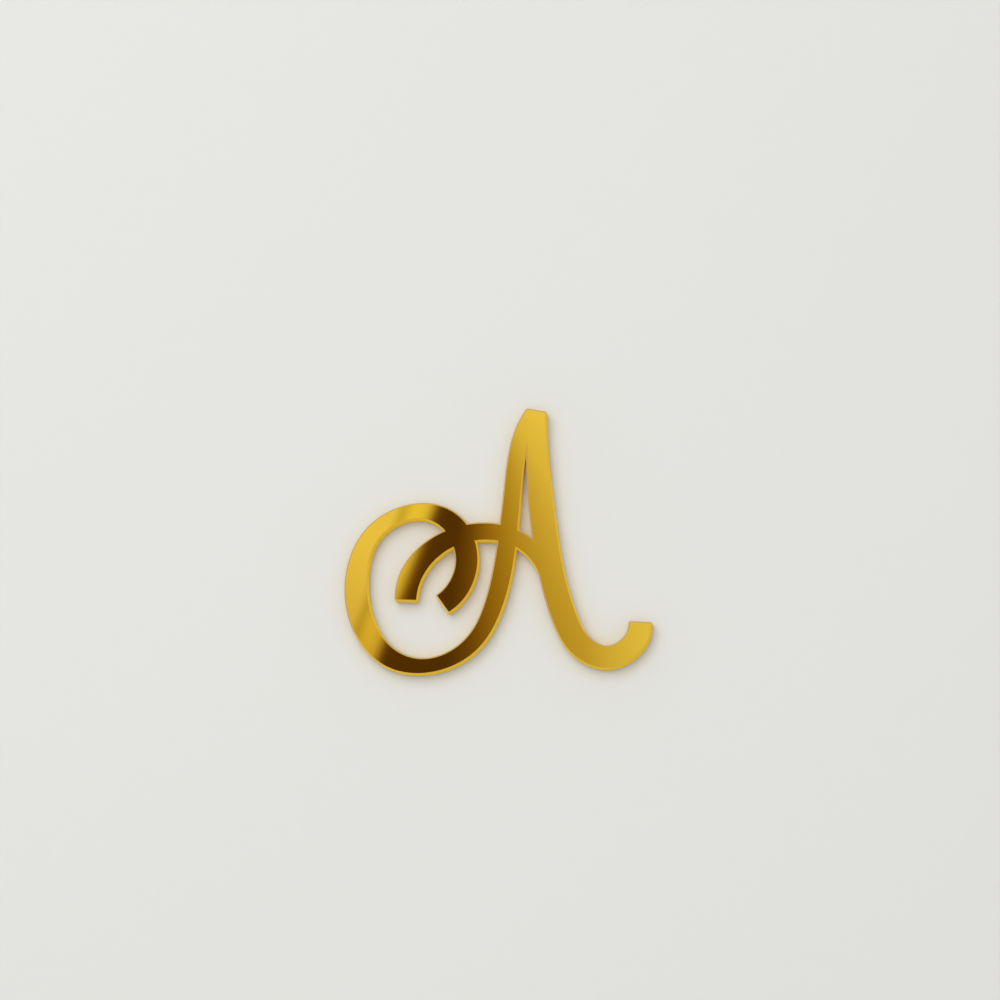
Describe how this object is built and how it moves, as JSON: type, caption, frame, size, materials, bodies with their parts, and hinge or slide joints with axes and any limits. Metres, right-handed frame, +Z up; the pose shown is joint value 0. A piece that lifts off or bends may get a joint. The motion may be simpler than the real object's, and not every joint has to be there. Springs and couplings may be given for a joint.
{
  "type": "cake topper",
  "caption": "Script capital letter with an open loop, a curled crossbar and an upturned tail, laser-cut from gold mirror acrylic to sit flat against the side of a cake.",
  "frame": {"origin": "on the flat back face, where the crossbar crosses the left leg", "axes": "+X to the right as the letter is read, +Y straight out of the back face, +Z up; the mirror face looks along -Y"},
  "size_m": [0.0865, 0.003, 0.0755],
  "materials": {
    "gold_acrylic": "polished",
    "mirror_metal": "polished",
    "back_paint": "matte"
  },
  "bodies": {
    "root": {"acrylic_letter": "gold_acrylic", "mirror_film": "mirror_metal", "back_coat": "back_paint"}
  },
  "joints": []
}
